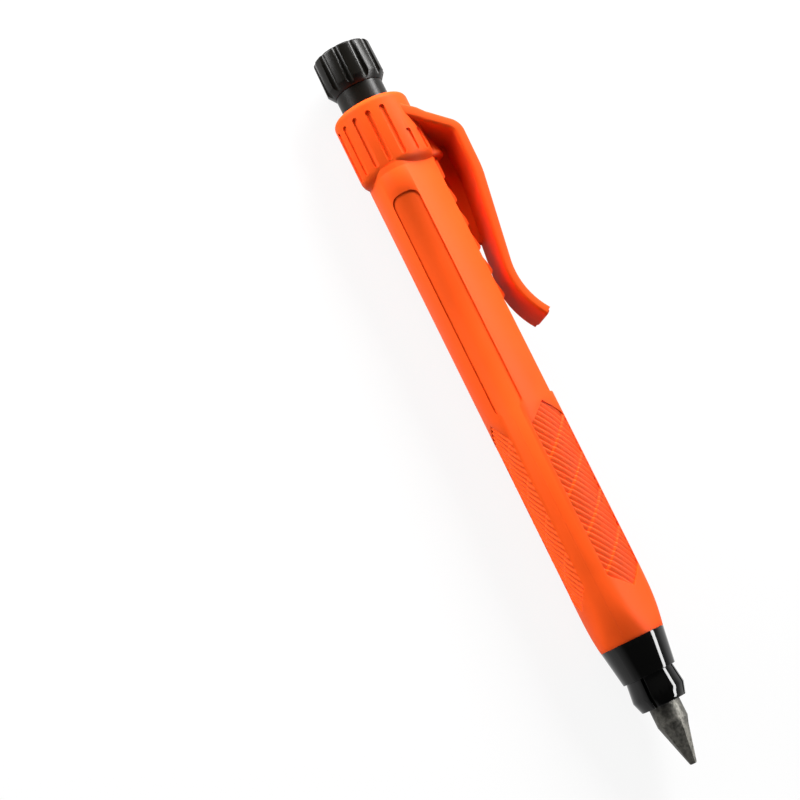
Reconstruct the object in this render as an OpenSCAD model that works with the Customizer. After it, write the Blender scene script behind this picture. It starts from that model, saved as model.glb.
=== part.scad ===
// Clutch lead holder for thick carpenter's leads, with a rounded triangular barrel.
// Every piece is drawn on the pencil's own axis: z = 0 at the front end of the barrel,
// +z towards the push knob, and the pocket clip along +x. lay() then turns the whole pencil
// onto its side: +X towards the writing tip, the clip along +Y, the origin on the tip itself.

/* [Lead] */
// Diameter of the lead
lead_d = 5.6; // [5.2:0.1:6]
// Length of the lead, from its point to its rear end
lead_len = 100; // [80:1:105]
// Straight length of lead that stands bare in front of the clutch jaws
lead_bare = 3.3; // [2:0.1:5]
// Length of the sharpened cone
lead_cone = 7.8; // [6:0.1:9]
// Radius of the blunt writing point
lead_point_r = 0.62; // [0.3:0.02:1]

/* [Barrel] */
// Length of the triangular barrel, from its front end to the collar
barrel_len = 91.4; // [90:0.1:96]
// Distance from the axis to the barrel's rounded corners, and the radius of the collar
corner_reach = 7.1; // [7:0.05:7.6]
// Rounding radius of the three corners
corner_r = 4.1; // [3.9:0.05:4.4]
// Radius of the bulging faces between the corners
face_r = 16.7; // [14:0.1:24]
// Height at which the corners have faded in behind the round front end
ogive_len = 12.6; // [11:0.1:14]
// Thickness of the shoulder inside the barrel that the spring rests on
shoulder_t = 2; // [1.5:0.1:3]

/* [Grip panels] */
// Height of the lower apex of each six-sided panel
panel_low = 8; // [7.5:0.1:9]
// Height of the upper apex of each panel
panel_high = 43.5; // [42:0.1:45]
// Length of the pointed ends of a panel
panel_point = 3.3; // [2.5:0.1:4.5]
// Half width of a panel
panel_half_w = 4.4; // [4:0.05:4.6]
// Depth of a panel below the face
panel_depth = 0.4; // [0.2:0.05:0.45]

/* [Grip ribs] */
// Distance along the pencil from one slanting rib to the next
rib_pitch = 1.44; // [1.3:0.02:1.8]
// Width of the groove between two ribs
rib_gap = 0.42; // [0.3:0.02:0.6]
// Height of the ribs above the bottom of the panel
rib_height = 0.28; // [0.15:0.01:0.3]
// Slant of the ribs against the pencil's cross direction, in degrees
rib_slant = 45; // [40:1:50]
// Number of ribs between two crossing grooves
ribs_per_band = 5; // [4:1:7]
// Slant of the crossing grooves, in degrees
cross_slant = 37; // [32:1:42]
// Width of the crossing grooves
cross_gap = 0.24; // [0.15:0.01:0.3]
// Plain rim between the ends of the ribs and the panel's edge
rib_rim = 0.2; // [0.1:0.05:0.4]

/* [Corner pockets] */
// Height of the lower end of the long shallow pocket in each free corner
pocket_low = 43.8; // [42:0.1:46]
// Distance from the collar to the upper end of the pocket
pocket_rear = 4.6; // [3:0.1:7]
// Width of the pocket
pocket_w = 5.35; // [4.5:0.05:5.6]
// Depth of the pocket
pocket_depth = 0.4; // [0.2:0.05:0.5]

/* [Rack under the clip] */
// Distance from the axis to the flat that replaces the corner under the clip
flat_reach = 5.9; // [5.8:0.05:6.2]
// Height at which the flat ends and the full corner starts again
flat_low = 44.7; // [43:0.1:48]
// Number of teeth
tooth_count = 5; // [3:1:6]
// Distance between two teeth
tooth_pitch = 4.85; // [4.2:0.05:5.2]
// Distance from the collar to the uppermost notch
tooth_rear = 4; // [2.5:0.1:6]
// Distance from the axis to the tooth tips
tooth_tip = 6.9; // [6.7:0.05:7.2]
// Distance from the axis to the bottom of the notches
tooth_root = 6.25; // [6.2:0.05:6.4]
// Half width of the rack
tooth_half_w = 2; // [1.5:0.1:2.5]

/* [Collar] */
// Length of the collar
collar_len = 13.9; // [13:0.1:16]
// Rounding of the collar's upper rim
collar_round = 1.2; // [0.8:0.1:1.4]
// Height of the chamfer under the collar
collar_chamfer = 1.2; // [0.8:0.1:1.3]
// Thickness of the lip that closes the collar round the neck
collar_lip = 1.2; // [1:0.1:1.5]
// Width of the finger slots round the collar
slot_w = 1; // [0.8:0.05:1.1]
// Depth of the finger slots
slot_depth = 0.45; // [0.3:0.05:0.6]
// Distance from the collar's lower end to the slots
slot_low = 1.5; // [1.4:0.1:2]
// Length of a full slot
slot_len = 10; // [9:0.1:10.5]
// Length of the two slots on each side that stop under the clip root
slot_short = 4.4; // [4:0.1:5]
// Radius of the rounded wedge that stands out of the collar under the clip
wedge_r = 3.2; // [2.6:0.1:3.6]
// How far the wedge stands out of the collar
wedge_out = 1.3; // [0.8:0.1:1.6]
// Length of the wedge
wedge_len = 4.2; // [3.5:0.1:5]

/* [Pocket clip] */
// Distance from the axis to the back of the clip
clip_reach = 12.75; // [12.6:0.05:14]
// Thickness of the clip at its bend
clip_t = 1.3; // [1.1:0.05:1.4]
// Thickness of the clip at its waist
clip_waist_t = 0.85; // [0.8:0.05:1]
// Length of the clip below the collar
clip_len = 33.8; // [32:0.1:35]
// Half width of the clip where it leaves the collar
clip_root_w = 6.4; // [6:0.1:6.6]
// Half width of the clip's arm below the bend
clip_arm_w = 5.1; // [4.6:0.1:5.3]
// Half width of the clip at its free end
clip_end_w = 3.5; // [3:0.1:4]
// Height of the gripping bump inside the clip
clip_bump = 0.65; // [0.5:0.05:0.9]

/* [Knob and neck] */
// Radius of the push knob
knob_r = 5.6; // [5.4:0.05:6.2]
// Length of the knob, with its chamfer
knob_len = 7.8; // [7:0.1:9]
// Height of the chamfer under the knob
knob_chamfer = 1.3; // [1:0.1:1.4]
// Bare neck between the collar and the knob
neck_len = 4; // [3.9:0.1:5]
// Number of flutes round the knob
flute_count = 11; // [8:1:13]
// Radius of a flute
flute_r = 0.62; // [0.4:0.02:0.75]
// Length of the spigot that holds the knob in the neck
knob_spigot = 9.8; // [9.5:0.1:11]
// Depth of the neck inside the barrel, below the collar's top
neck_inside = 17.3; // [16:0.1:19]

/* [Clutch] */
// Length of the nose cone in front of the barrel
nose_len = 6.5; // [6:0.1:7.5]
// Wall of the nose cone round its mouth
nose_lip = 0.47; // [0.4:0.01:0.6]
// Length of the jaws that stands out of the nose cone
jaw_out = 5.5; // [5.2:0.1:6]
// Length of the blunt front chamfer of the jaws
jaw_chamfer = 2.1; // [1.6:0.1:2.4]
// Wall of the jaws behind their heads
jaw_wall = 0.77; // [0.7:0.01:0.85]
// Height at which the jaws grow out of the clutch body
jaw_root = 8; // [7.5:0.1:9]
// Angle of the heads and of the seat in the nose cone
seat_angle = 7.2; // [6.8:0.1:7.8]
// How far the clutch is turned against the clip
clutch_turn = 5.65; // [-45:0.05:45]
// Width of the slits between the jaws
jaw_slit = 0.55; // [0.4:0.05:0.8]
// How far the knob pushes the clutch out
push_travel = 3.8; // [3:0.1:3.8]
// Length of the clutch body behind the jaws
clutch_len = 7; // [6:0.1:7.2]

/* [Spring and tube] */
// Wire diameter of the return spring
wire_d = 0.7; // [0.6:0.05:0.7]
// Length of the fitted spring
spring_len = 26; // [22:0.5:30]
// Turns of the spring
spring_turns = 9; // [7:1:11]
// Wall of the lead tube
tube_wall = 0.35; // [0.3:0.01:0.4]
// Thickness of the ring that carries the spring's rear end
seat_t = 1.5; // [1:0.1:2]
// Thickness of the retaining ring behind it
snap_t = 0.6; // [0.5:0.05:0.8]

/* [Fits] */
// Play between the lead and the closed jaws
lead_play = 0.03; // [0.02:0.01:0.06]
// Radial play of pieces that slide or turn
run_fit = 0.06; // [0.03:0.01:0.08]
// Radial gap of pieces that are pressed or screwed together
press_fit = 0.02; // [0.01:0.01:0.03]
// Gap at the clip's flexing root
flex_gap = 0.03; // [0.02:0.01:0.05]

/* [Hidden] */
$fn = 96;
eps = 0.01;
round_step = 7;

orange = [1, 0.36, 0.1];
black = [0.08, 0.08, 0.09];
brass = [0.8, 0.66, 0.35];
steel = [0.7, 0.71, 0.73];

// Section of the barrel: three corner circles, joined by three wide arcs that touch them.
corner_c = corner_reach - corner_r;
face_run = sqrt(pow(face_r - corner_r, 2) - 0.75 * corner_c * corner_c);
face_reach = corner_c / 2 + face_r - face_run;
touch_angle = 60 - atan2(corner_c * sqrt(3) / 2, face_run);

// Radii from the lead outwards.
lead_r = lead_d / 2;
tube_bore = lead_r + 0.15;
tube_r = tube_bore + tube_wall;
spring_r = tube_r + 0.4 + wire_d / 2;
bore_r = tube_r + 0.4 + wire_d + 0.2;
neck_r = bore_r - 0.11;
socket_r = neck_r - 0.54;
spigot_r = socket_r - 0.05;
cutter_hole_r = spigot_r - 0.7;
cutter_r = cutter_hole_r - press_fit;
bush_bore = neck_r + run_fit;
bush_r = bush_bore + 0.45;
tail_r = bush_r + press_fit + 0.6;
jaw_bore = lead_r + lead_play;
shank_r = jaw_bore + jaw_wall;
clutch_r = tube_r + 0.45;
nose_bore = max(shank_r + 0.5, clutch_r + 0.2);
stem_r = nose_bore + 0.55;
insert_bore = stem_r + press_fit + 0.01;
insert_r = insert_bore + 0.42;

// Heights.
collar_top = barrel_len + collar_len;
tail_top = collar_top - collar_lip - 0.9;
knob_low = collar_top + neck_len;
knob_top = knob_low + knob_len;
neck_low = collar_top - neck_inside;
socket_low = knob_low - knob_spigot - 1;
tube_top = socket_low - 1.1;
tube_low = jaw_root + 2.5;
shoulder_low = jaw_root + clutch_len + 2;
shoulder_top = shoulder_low + shoulder_t;
spring_top = shoulder_top + spring_len;
insert_low = 0.8;
stem_len = 7.4;
insert_top = stem_len + 0.6;
jaw_front = -nose_len - jaw_out;
head_z = jaw_front + jaw_chamfer;
lead_front = jaw_front - lead_bare;
lead_tip = lead_front - lead_cone;
origin_z = lead_tip;

// The seat's cone: its radius falls with the height from the nose cone's mouth.
mouth_r = nose_bore + 0.28;
head_rear = -nose_len + (mouth_r - nose_bore) / tan(seat_angle);
function seat_r(z) = mouth_r - (z + nose_len) * tan(seat_angle);
head_fit = 0.03;
head_r = seat_r(head_z) - head_fit;
jaw_front_r = head_r - 0.7;

// Ogive that fades the corners into the round front end. It ends a little outside them.
ogive_reach = corner_reach + 0.06;
ogive_rise = ogive_reach - face_reach;
ogive_r = (ogive_len * ogive_len + ogive_rise * ogive_rise) / (2 * ogive_rise);

// Ends of the pockets, the rack and the clip, all set from the collar.
pocket_high = barrel_len - pocket_rear;
tooth_top = barrel_len - tooth_rear;
tooth_nose = 0.7;
clip_end = barrel_len - clip_len;

// The clip's flexing line lies in the middle of its sloping root.
clip_top = collar_top - 1.1;
clip_bend = clip_top - 8.15;
clip_waist = clip_reach - 3.95;
arm_high = [clip_reach - clip_t, clip_bend - 9.15];
arm_low = [clip_waist - clip_waist_t - 0.12, clip_end + 4.5];
root_slope = 38;
flex_reach = 8.6;
flex_z = clip_top - 5.5;
flex_r = 1.12;

// ---- helpers -----------------------------------------------------------------------------

module lay() translate([origin_z, 0, 0]) rotate([0, -90, 0]) rotate(90) children();

// A ring or tube between two heights.
module ring(r_out, r_in, low, high) {
  difference() {
    translate([0, 0, low]) cylinder(r = r_out, h = high - low);
    translate([0, 0, low - eps]) cylinder(r = r_in, h = high - low + 2 * eps);
  }
}

// Stands a flat outline upright, its x across and its y along the pencil, and pushes it out
// along the radius at this angle.
module radial(angle, from, to)
  rotate(angle) translate([from, 0, 0]) rotate([90, 0, 90]) linear_extrude(to - from) children();

// Spreads an outline drawn as [radius, height] across the pencil, in the clip's plane.
module clip_slab(half_w)
  translate([0, half_w, 0]) rotate([90, 0, 0]) linear_extrude(2 * half_w) children();

function unit(v) = v / norm(v);

// The round that replaces the corner p between its neighbours a and b.
function round_corner(a, p, b, r) =
  let (u = unit(a - p), v = unit(b - p), half = acos(u * v) / 2,
       c = p + unit(u + v) * r / sin(half), s = p + u * r / tan(half) - c,
       e = p + v * r / tan(half) - c, start = atan2(s.y, s.x),
       sweep = (atan2(e.y, e.x) - start + 540) % 360 - 180, n = ceil(abs(sweep) / round_step))
  r == 0 ? [p] : [for (i = [0:n]) c + r * [cos(start + sweep * i / n), sin(start + sweep * i / n)]];

// An outline through [x, y, rounding] points.
function rounded(pts) =
  let (n = len(pts), xy = [for (p = pts) [p.x, p.y]])
  [for (i = [0:n - 1]) each round_corner(xy[(i + n - 1) % n], xy[i], xy[(i + 1) % n], pts[i].z)];

// ---- barrel and collar -------------------------------------------------------------------

// The barrel's section, all of it moved inwards by inset.
module section(inset = 0) {
  r = corner_r - inset;
  intersection() {
    rotate(60) face_circle(inset);
    rotate(180) face_circle(inset);
    rotate(300) face_circle(inset);
    rotate(60) circle(r = 2 * (corner_c + r * cos(touch_angle)), $fn = 3);
  }
  for (a = [0, 120, 240]) rotate(a) translate([corner_c, 0]) circle(r);
}

module face_circle(inset) translate([face_reach - face_r, 0]) circle(face_r - inset);

// Everything that lies deeper than inset below the barrel's surface.
module core(inset, low, high) translate([0, 0, low]) linear_extrude(high - low) section(inset);

// Solid of revolution that trims the corners towards the front end.
module ogive() {
  rotate_extrude() {
    intersection() {
      translate([ogive_reach - ogive_r, ogive_len]) circle(ogive_r, $fn = 360);
      square([ogive_reach + 1, ogive_len]);
    }
    translate([0, ogive_len - eps]) square([ogive_reach + 1, barrel_len - ogive_len + 1]);
  }
}

// A six-sided panel, its sides moved inwards by rim.
module panel_outline(rim) {
  w = panel_half_w - rim;
  low = panel_low + rim / cos(atan2(panel_point, panel_half_w));
  high = panel_high - (low - panel_low);
  point = panel_point * w / panel_half_w;
  polygon([[0, low], [w, low + point], [w, high - point], [0, high], [-w, high - point], [-w, low + point]]);
}

// Parallel bars over a whole panel, each one slanting by this angle and a pitch above the last.
module slanting_bars(slant, pitch, width) {
  reach = panel_half_w / cos(slant) + pitch;
  middle = (panel_low + panel_high) / 2;
  count = ceil((panel_high - panel_low) / 2 / pitch) + 3;
  for (i = [-count:count]) translate([0, middle + i * pitch]) rotate(slant)
    translate([-reach, -width / 2]) square([2 * reach, width]);
}

// The ribs of one panel from above: slanting bars, parted by the crossing grooves.
module rib_pattern() {
  intersection() {
    panel_outline(rib_rim);
    difference() {
      slanting_bars(-rib_slant, rib_pitch, (rib_pitch * cos(rib_slant)) - rib_gap);
      slanting_bars(cross_slant, ribs_per_band * rib_pitch, cross_gap);
    }
  }
}

// What the grip panels leave out of the barrel: their recess, round ribs that follow its bulge.
module grip_panels() {
  for (a = [60, 180, 300]) difference() {
    radial(a, 3, corner_reach + 1) panel_outline(0);
    core(panel_depth, 0, barrel_len);
    intersection() {
      radial(a, 3, corner_reach + 1) rib_pattern();
      core(panel_depth - rib_height, 0, barrel_len);
    }
  }
}

module corner_pockets() {
  w = pocket_w / 2;
  r = 0.6 * w;
  difference() {
    for (a = [120, 240]) radial(a, 4, corner_reach + 1)
      polygon(rounded([[-w, pocket_low, r], [w, pocket_low, r], [w, pocket_high, r], [-w, pocket_high, r]]));
    core(pocket_depth, 0, barrel_len);
  }
}

// The flat under the clip, as the stock that is cut away.
module clip_flat()
  translate([flat_reach, -corner_r - 1, flat_low]) cube([corner_reach, 2 * corner_r + 2, barrel_len]);

// Rack outline: each long flank climbs from a notch to a rounded tip, then drops back.
module rack_outline() {
  low = tooth_top - tooth_count * tooth_pitch;
  teeth = [for (i = [tooth_count - 1:-1:0]) let (z = tooth_top - i * tooth_pitch)
    each [[tooth_tip, z - tooth_pitch + tooth_nose, 0.35], [tooth_root, z, 0.2]]];
  polygon(rounded(concat([[bore_r + 0.4, low - 0.3, 0], [flat_reach, low - 0.3, 0]], teeth,
    [[tooth_tip, tooth_top + 0.4, 0.2], [tooth_tip, barrel_len, 0], [bore_r + 0.4, barrel_len, 0]])));
}

module barrel_bores() {
  translate([0, 0, -1]) cylinder(r = insert_r + press_fit, h = insert_top + 0.1 + 1);
  translate([0, 0, 1]) cylinder(r = nose_bore + 0.1, h = shoulder_low - 1);
  cylinder(r = tube_r + run_fit, h = shoulder_top + 1);
  translate([0, 0, shoulder_top]) cylinder(r = bore_r, h = collar_top);
  translate([0, 0, barrel_len + 1]) cylinder(r = bush_r + press_fit, h = collar_top);
}

module barrel() color(orange) lay() {
  difference() {
    union() {
      difference() {
        intersection() {
          core(0, 0, barrel_len);
          ogive();
        }
        clip_flat();
        corner_pockets();
        grip_panels();
      }
      clip_slab(tooth_half_w) rack_outline();
      translate([0, 0, barrel_len - 1]) cylinder(r = tail_r, h = tail_top - barrel_len + 1);
    }
    barrel_bores();
  }
}

module collar_outline() {
  r = corner_reach - collar_round;
  translate([r, collar_top - collar_round]) circle(collar_round);
  polygon([[tail_r - 1, barrel_len], [corner_reach - collar_chamfer, barrel_len],
    [corner_reach, barrel_len + collar_chamfer], [corner_reach, collar_top - collar_round],
    [r, collar_top], [tail_r - 1, collar_top]]);
}

module slot(angle, length) {
  w = slot_w / 2;
  low = barrel_len + slot_low;
  radial(angle, corner_reach - slot_depth, corner_reach + 1) {
    translate([-w, low + w]) square([slot_w, length - slot_w]);
    for (z = [low + w, low + length - w]) translate([0, z]) circle(w);
  }
}

module finger_slots() {
  step = 22.5;
  for (k = [4:12]) slot(k * step, slot_len);
  for (k = [-3, -2, 2, 3]) slot(k * step, slot_short);
}

// Half cone that swells out of the collar towards its lower end.
module clip_wedge() {
  slope = wedge_out + 0.1;
  low = barrel_len + 0.3;
  difference() {
    translate([corner_reach + wedge_out - wedge_r, 0, low])
      cylinder(r1 = wedge_r, r2 = wedge_r - slope, h = wedge_len);
    translate([0, 0, low - 1]) cylinder(r = tail_r + 0.5, h = wedge_len + 2);
  }
}

module clip_collar() color(orange) lay() {
  difference() {
    union() {
      difference() {
        union() {
          rotate_extrude() collar_outline();
          core(0, barrel_len, barrel_len + collar_chamfer);
          clip_wedge();
        }
        finger_slots();
      }
      clip_root();
    }
    translate([0, 0, barrel_len - 1]) cylinder(r = tail_r + press_fit, h = collar_len - collar_lip + 1);
    cylinder(r = neck_r + 0.13, h = collar_top + 1);
  }
}

// ---- pocket clip -------------------------------------------------------------------------

// Side view of the whole clip as [radius, height]: shallow root, steep shoulder, straight
// back, arm leaning in to its waist, and the end flared out to slide over cloth.
module clip_outline() {
  back = clip_reach;
  arm_round = 20;
  flare_round = 15;
  polygon(rounded([
    [2, clip_top + 0.3, 0], [back - 5.05, clip_bend + 5.05, 6], [back, clip_bend, 5],
    [back, arm_high.y - 0.2, arm_round], [clip_waist, arm_low.y + 0.7, flare_round],
    [back + 0.1, clip_end, 0.5], [back - 0.6, clip_end - 0.55, 0.3],
    [arm_low.x, arm_low.y, flare_round - 1], [arm_high.x, arm_high.y, arm_round],
    [arm_high.x, clip_bend - 0.7, 3], [2, clip_top - 2.3, 0]]));
}

// Front view of the clip, which narrows towards its free end.
module clip_front() {
  right = [[0.97 * clip_arm_w, arm_high.y - 4.5, 9], [clip_arm_w, clip_bend + 1.4, 0],
    [clip_root_w + 1, clip_bend + 4.4, 0], [clip_root_w + 1, collar_top + 1, 0]];
  low = [[clip_end_w, clip_end - 2, 1.2], [0.85 * clip_arm_w, arm_low.y + 5.5, 9]];
  half = concat(low, right);
  polygon(rounded(concat(half, [for (i = [len(half) - 1:-1:0]) [-half[i].x, half[i].y, half[i].z]])));
}

// Top view of the clip's root, widest where it grows out of the collar.
module clip_plan()
  polygon([[2, -clip_root_w], [clip_reach + 2, -clip_arm_w], [clip_reach + 2, clip_arm_w], [2, clip_root_w]]);

module clip_body() {
  intersection() {
    clip_slab(clip_root_w + 1) clip_outline();
    radial(0, 0, clip_reach + 3) clip_front();
    translate([0, 0, clip_end - 3]) linear_extrude(collar_top) clip_plan();
  }
}

module flex_barrel(r) clip_slab(clip_root_w + 1) translate([flex_reach, flex_z]) circle(r);

// Half space on the arm's side of the flexing line, square to the sloping root.
module arm_side() {
  side = clip_len + collar_len;
  translate([flex_reach, -side / 2, flex_z]) rotate([0, root_slope, 0])
    translate([0, 0, -side]) cube([side, side, 2 * side]);
}

module clip_root() {
  difference() {
    clip_body();
    arm_side();
    flex_barrel(flex_r + flex_gap);
  }
}

module clip_bump_bar() {
  clip_slab(0.8 * clip_arm_w) translate(arm_high + 0.47 * (arm_low - arm_high))
    polygon(rounded([[-clip_bump, 0, 0.4], [0.5, -0.9, 0], [0.9, 2.4, 0], [0.1 - clip_bump, 0.7, 0.5]]));
}

module pocket_clip() color(orange) lay() {
  intersection() {
    clip_body();
    union() {
      arm_side();
      flex_barrel(flex_r);
    }
  }
  clip_bump_bar();
}

// ---- fixed inner pieces ------------------------------------------------------------------

module rear_bush() color(black) lay() {
  ring(bush_r, bush_bore, barrel_len + 1.2, tail_top + 0.05);
  ring(tail_r, bush_bore, tail_top, tail_top + 0.8);
}

module thread_insert() color(brass) lay() ring(insert_r, insert_bore, insert_low, insert_top);

module nose_cone() color(black) lay() {
  rotate_extrude() polygon([
    [mouth_r, -nose_len], [mouth_r + nose_lip, -nose_len], [face_reach, 0], [stem_r, 0],
    [stem_r, stem_len - 0.4], [stem_r - 0.3, stem_len], [nose_bore, stem_len], [nose_bore, head_rear]]);
}

// ---- sliding clutch ----------------------------------------------------------------------

module lead_tube() color(steel) lay() {
  difference() {
    ring(tube_r, tube_bore, tube_low, tube_top);
    ring(tube_r + 1, tube_r - 0.15, spring_top + seat_t, spring_top + seat_t + snap_t);
  }
}

module plunger_sleeve() color(black) lay() {
  difference() {
    translate([0, 0, neck_low]) cylinder(r = neck_r, h = knob_low - 0.05 - neck_low);
    translate([0, 0, neck_low - 1]) cylinder(r = tube_r + press_fit, h = tube_top + 0.1 - neck_low + 1);
    translate([0, 0, neck_low]) cylinder(r = tube_bore, h = knob_len + knob_low - neck_low);
    translate([0, 0, socket_low]) cylinder(r = socket_r, h = knob_low);
  }
}

module clutch_body() color(brass) lay() {
  difference() {
    ring(clutch_r, tube_bore, jaw_root + 0.05, jaw_root + clutch_len);
    translate([0, 0, tube_low - 0.05]) cylinder(r = tube_r + press_fit, h = clutch_len);
  }
}

// Half outline of the ring that the jaws are slit from: shank, step, seat cone and chamfer.
module jaw_outline() {
  step = head_rear - 0.05;
  polygon([[jaw_bore, jaw_front], [jaw_front_r, jaw_front], [head_r, head_z],
    [seat_r(step) - head_fit, step], [shank_r, step + 0.45], [shank_r, jaw_root], [jaw_bore, jaw_root]]);
}

// One of the four spring fingers of the clutch.
module clutch_jaw(i) color(black) lay() rotate(clutch_turn + 90 * i) {
  difference() {
    rotate(-45) rotate_extrude(angle = 90) jaw_outline();
    for (a = [-45, 45]) rotate(a)
      translate([0, -jaw_slit / 2, jaw_front - 1]) cube([head_r + 1, jaw_slit, jaw_root - jaw_front + 2]);
  }
}

module spring_seat() color(steel) lay()
  ring(bore_r - 0.15, tube_r + press_fit, spring_top, spring_top + seat_t);

module retaining_ring() color(steel) lay() {
  low = spring_top + seat_t + press_fit;
  difference() {
    ring(tube_r + 0.7, tube_r - 0.13, low, low + snap_t - 2 * press_fit);
    translate([0, -0.9, low - 1]) cube([bore_r, 1.8, snap_t + 2]);
  }
}

// Coil: rings of points round the wire, swept up a helix whose end turns lie closed.
module return_spring() color(steel) lay() {
  sides = 8;
  per_turn = 24;
  steps = spring_turns * per_turn;
  low = shoulder_top + wire_d / 2 + 0.02;
  rise = spring_len - wire_d - 0.04;
  pts = [for (i = [0:steps]) let (a = 360 * i / per_turn, z = low + rise * i / steps)
    for (k = [0:sides - 1]) let (b = 360 * k / sides, r = spring_r + wire_d / 2 * cos(b))
      [r * cos(a), r * sin(a), z + wire_d / 2 * sin(b)]];
  walls = [for (i = [0:steps - 1]) for (k = [0:sides - 1]) let (n = (k + 1) % sides, o = i * sides)
    [o + k, o + sides + k, o + sides + n, o + n]];
  polyhedron(pts, concat(walls, [[for (k = [0:sides - 1]) k],
    [for (k = [sides - 1:-1:0]) steps * sides + k]]), convexity = 10);
}

// ---- knob --------------------------------------------------------------------------------

cutter_low = knob_low - knob_spigot + 0.3;
cutter_len = 9;
groove_z = knob_low - 3.4;
o_ring_wire = 0.2;
o_ring_r = socket_r - o_ring_wire - 0.03;

module o_ring_groove() {
  half = o_ring_wire + 0.03;
  ring(spigot_r + 1, o_ring_r - half, groove_z - half, groove_z + half);
}

module push_knob() color(black) lay() {
  low = knob_low - knob_spigot;
  difference() {
    rotate_extrude() polygon(rounded([[0, low, 0], [spigot_r, low, 0.3], [spigot_r, knob_low, 0],
      [knob_r - 0.95, knob_low, 0], [knob_r, knob_low + knob_chamfer, 0.3],
      [knob_r - 0.1, knob_top, 0.5], [0, knob_top, 0]]));
    translate([0, 0, low - 1]) cylinder(r = cutter_hole_r, h = knob_spigot + knob_len - 0.3);
    for (i = [0:flute_count - 1]) rotate(360 * (i + 0.5) / flute_count)
      translate([knob_r + 0.05, 0, knob_low + 0.8]) cylinder(r = flute_r, h = knob_len);
    o_ring_groove();
  }
}

// Steel lead pointer inside the knob: a cone with slits whose edges shave the lead.
module pointer_cutter() color(steel) lay() {
  difference() {
    translate([0, 0, cutter_low]) cylinder(r = cutter_r, h = cutter_len);
    translate([0, 0, cutter_low - eps])
      cylinder(r1 = lead_r + 0.1, r2 = lead_point_r, h = lead_cone + 0.5);
    translate([0, 0, cutter_low]) cylinder(r = lead_point_r, h = cutter_len + 1);
    for (i = [0:4]) rotate(72 * i)
      translate([0.2, 0, cutter_low + 2]) cube([cutter_r, 0.5, cutter_len]);
  }
}

module knob_o_ring() color(black) lay()
  translate([0, 0, groove_z]) rotate_extrude() translate([o_ring_r, 0]) circle(o_ring_wire);

module lead() color([0.32, 0.32, 0.34]) lay() {
  rear = lead_tip + lead_len;
  rotate_extrude() polygon([[0, lead_tip], [lead_point_r, lead_tip], [lead_r, lead_front],
    [lead_r, rear - 0.2], [lead_r - 0.2, rear], [0, rear]]);
}

barrel();
clip_collar();
pocket_clip();
rear_bush();
thread_insert();
nose_cone();
lead_tube();
plunger_sleeve();
clutch_body();
clutch_jaw(0);  // clutch_jaw_1
clutch_jaw(1);  // clutch_jaw_2
clutch_jaw(2);  // clutch_jaw_3
clutch_jaw(3);  // clutch_jaw_4
spring_seat();
retaining_ring();
return_spring();
push_knob();
pointer_cutter();
knob_o_ring();
lead();
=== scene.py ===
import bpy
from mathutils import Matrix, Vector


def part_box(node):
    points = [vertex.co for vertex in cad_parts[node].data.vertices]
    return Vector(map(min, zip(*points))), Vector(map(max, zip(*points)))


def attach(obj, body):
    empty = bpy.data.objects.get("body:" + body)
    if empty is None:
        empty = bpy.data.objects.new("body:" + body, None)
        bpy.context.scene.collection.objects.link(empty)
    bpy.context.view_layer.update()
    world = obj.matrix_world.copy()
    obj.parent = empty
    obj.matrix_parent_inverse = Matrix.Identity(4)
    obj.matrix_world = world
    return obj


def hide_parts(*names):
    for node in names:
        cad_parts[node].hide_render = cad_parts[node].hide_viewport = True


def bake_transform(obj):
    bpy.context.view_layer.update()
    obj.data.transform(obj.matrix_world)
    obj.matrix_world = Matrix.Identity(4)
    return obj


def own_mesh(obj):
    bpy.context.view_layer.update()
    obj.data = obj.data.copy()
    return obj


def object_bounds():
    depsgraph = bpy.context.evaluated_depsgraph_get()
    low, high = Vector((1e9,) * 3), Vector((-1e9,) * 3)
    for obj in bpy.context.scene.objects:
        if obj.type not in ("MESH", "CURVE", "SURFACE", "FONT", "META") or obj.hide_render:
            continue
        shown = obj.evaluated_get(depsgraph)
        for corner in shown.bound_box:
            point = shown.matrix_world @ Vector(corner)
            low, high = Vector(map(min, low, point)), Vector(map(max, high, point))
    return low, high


bl_info = {
    "name": "Clutch Pencil Dresser",
    "version": (1, 0, 0),
    "blender": (4, 5, 0),
    "location": "3D View > Sidebar > Pencil",
    "description": "Builds the visible pencil over its measured frame, with its finishes and studio",
    "category": "Object",
}

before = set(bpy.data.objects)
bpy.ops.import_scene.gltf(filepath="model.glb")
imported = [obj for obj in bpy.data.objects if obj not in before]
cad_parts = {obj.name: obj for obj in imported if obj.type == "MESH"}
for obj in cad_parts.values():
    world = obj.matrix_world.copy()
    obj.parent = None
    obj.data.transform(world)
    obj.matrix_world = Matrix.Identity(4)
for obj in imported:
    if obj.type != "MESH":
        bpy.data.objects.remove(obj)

import math

import bpy
from mathutils import Matrix, Vector

MM = 0.001
CAD_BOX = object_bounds()
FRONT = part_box("barrel")[1].x
REACH = -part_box("clip_collar")[0].z
COLLAR_LOW, COLLAR_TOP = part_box("clip_collar")[1].x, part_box("clip_collar")[0].x
CLIP_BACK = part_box("pocket_clip")[1].y

# The barrel's section: three round corners, joined by three faces of a large radius. TOUCH is
# the angle from the middle of a face at which the face meets the corner.
CORNER_R, FACE_R = 4.1 * MM, 16.7 * MM
CORNER_C = REACH - CORNER_R
FACE_RUN = math.sqrt((FACE_R - CORNER_R) ** 2 - 0.75 * CORNER_C ** 2)
FACE_REACH = CORNER_C / 2 + FACE_R - FACE_RUN
TOUCH = math.degrees(math.atan2(FACE_R * CORNER_C * math.sqrt(0.75),
                                FACE_R * FACE_RUN - (FACE_R - FACE_REACH) * (FACE_R - CORNER_R)))

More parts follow.
